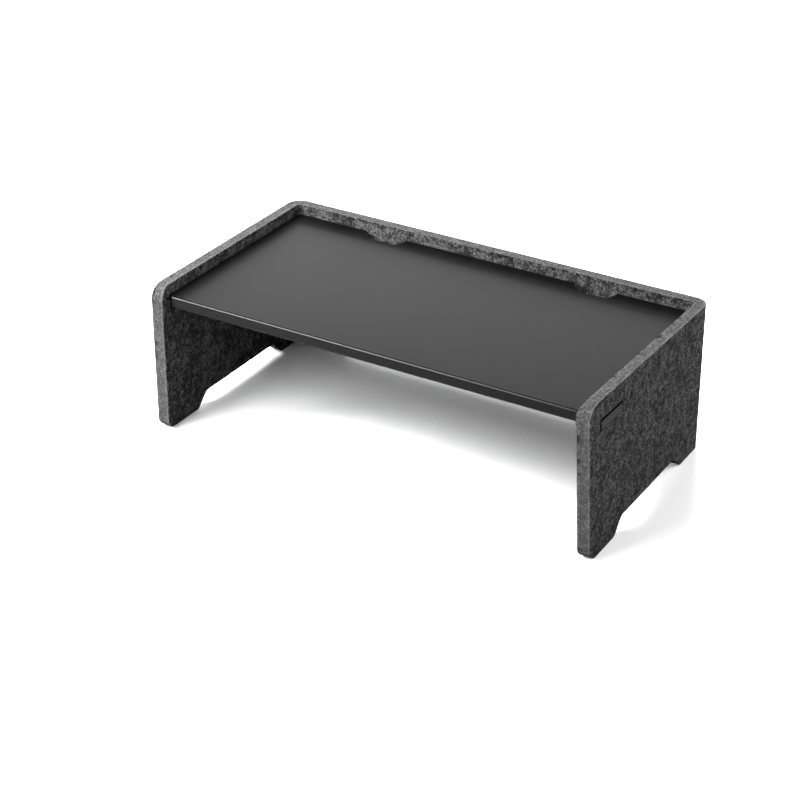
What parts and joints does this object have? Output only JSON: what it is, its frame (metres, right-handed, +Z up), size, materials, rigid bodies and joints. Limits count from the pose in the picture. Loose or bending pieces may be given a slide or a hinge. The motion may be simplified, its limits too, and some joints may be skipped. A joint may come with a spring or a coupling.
{
  "type": "monitor riser stand",
  "caption": "Desk monitor riser: a folded dark grey felt board wraps the back and sides of a black bent-steel shelf with cable notches at the rear.",
  "frame": {"origin": "on the floor, under the middle of the stand's length and depth", "axes": "+X along the length to the side with the blank plate, +Y to the back wall, +Z up"},
  "size_m": [0.49, 0.26, 0.16],
  "materials": {
    "felt": "mottled pressed felt",
    "black_steel": "satin powder coat",
    "plate": "matt",
    "plate_foam": "fine cell foam",
    "screw_steel": "black oxide",
    "insert_brass": "plain"
  },
  "bodies": {
    "root": {"felt_body": "felt", "shelf": "black_steel", "blank_plate": "plate", "plate_pad": "plate_foam", "screw_left_1": "screw_steel", "screw_left_2": "screw_steel", "screw_left_3": "screw_steel", "screw_right_1": "screw_steel", "screw_right_2": "screw_steel", "screw_right_3": "screw_steel", "screw_rear_1": "screw_steel", "screw_rear_2": "screw_steel", "screw_rear_3": "screw_steel", "insert_left_1": "insert_brass", "insert_left_2": "insert_brass", "insert_left_3": "insert_brass", "insert_right_1": "insert_brass", "insert_right_2": "insert_brass", "insert_right_3": "insert_brass", "insert_rear_1": "insert_brass", "insert_rear_2": "insert_brass", "insert_rear_3": "insert_brass"}
  },
  "joints": []
}
